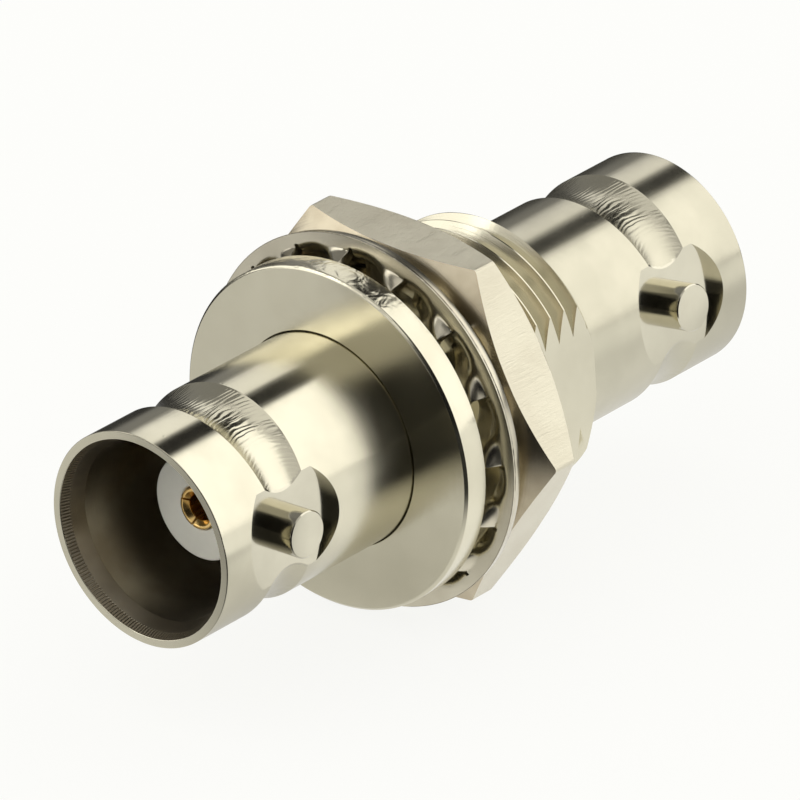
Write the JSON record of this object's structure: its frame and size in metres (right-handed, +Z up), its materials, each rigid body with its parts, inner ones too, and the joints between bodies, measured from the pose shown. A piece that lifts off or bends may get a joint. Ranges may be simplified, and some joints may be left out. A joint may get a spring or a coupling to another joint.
{
  "type": "coaxial bulkhead adapter",
  "caption": "Feed-through coaxial adapter: two female bayonet jacks back to back on a flanged, threaded body with lock washer and hex nut.",
  "frame": {"origin": "on the common axis, at the flange's rear face, where the panel seats", "axes": "+Y along the common axis from the front jack to the threaded end, +X through a front bayonet lug and the thread's D flat, +Z up"},
  "size_m": [0.0182, 0.0338, 0.017],
  "materials": {
    "bright_nickel": "bright nickel plate over turned brass",
    "white_insulator": "smooth white fluoropolymer",
    "gold_plate": "gold plate",
    "washer_nickel": "nickel plated spring steel",
    "satin_nickel": "nickel plate over brushed brass flats"
  },
  "bodies": {
    "adapter_body": {"front_jack_shell": "bright_nickel", "bulkhead_body": "bright_nickel", "front_insulator": "white_insulator", "rear_insulator": "white_insulator", "centre_contact": "gold_plate"},
    "lock_washer": {"lock_washer": "washer_nickel"},
    "hex_nut": {"hex_nut": "satin_nickel"}
  },
  "joints": [
    {"name": "washer_travel", "type": "slide", "parent": "adapter_body", "child": "lock_washer", "axis": [0, 1, 0], "range_m": [0, 0.0064]},
    {"name": "nut_spin", "type": "hinge", "parent": "lock_washer", "child": "hex_nut", "pos_m": [0, 0.00348, 0], "axis": [0, 1, 0], "range_deg": [0, 2520]}
  ],
  "couplings": [
    {"joint": "washer_travel", "follows": "nut_spin", "m_per_rad": 0.00014435}
  ]
}
